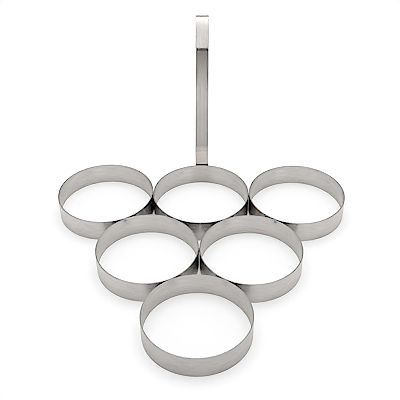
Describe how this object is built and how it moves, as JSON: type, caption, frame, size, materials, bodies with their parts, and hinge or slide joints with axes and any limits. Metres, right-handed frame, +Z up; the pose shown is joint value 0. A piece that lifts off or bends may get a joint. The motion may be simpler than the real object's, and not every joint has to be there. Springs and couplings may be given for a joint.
{
  "type": "pancake mould",
  "caption": "Open steel rings welded side by side in a triangle, with an upright bent strip handle, for holding pancake batter round on a griddle.",
  "frame": {"origin": "on the griddle plane, under the middle of the whole object's box", "axes": "+X to the right of someone facing the front ring, +Y from the single front ring towards the handle, +Z up"},
  "size_m": [0.3058, 0.3586, 0.1686],
  "materials": {
    "ring_steel": "satin stainless steel, brushed round the ring",
    "handle_steel": "satin stainless steel, brushed along the strip",
    "weld_steel": "bare weld metal, dull with a little heat tint"
  },
  "bodies": {
    "root": {"ring_back_left": "ring_steel", "ring_back_centre": "ring_steel", "ring_back_right": "ring_steel", "ring_middle_left": "ring_steel", "ring_middle_right": "ring_steel", "ring_front": "ring_steel", "spot_weld_back_left_to_back_centre": "weld_steel", "spot_weld_back_left_to_middle_left": "weld_steel", "spot_weld_back_centre_to_back_right": "weld_steel", "spot_weld_back_centre_to_middle_left": "weld_steel", "spot_weld_back_centre_to_middle_right": "weld_steel", "spot_weld_back_right_to_middle_right": "weld_steel", "spot_weld_middle_left_to_middle_right": "weld_steel", "spot_weld_middle_left_to_front": "weld_steel", "spot_weld_middle_right_to_front": "weld_steel", "handle": "handle_steel", "handle_fillet_left": "weld_steel", "handle_fillet_right": "weld_steel"}
  },
  "joints": []
}
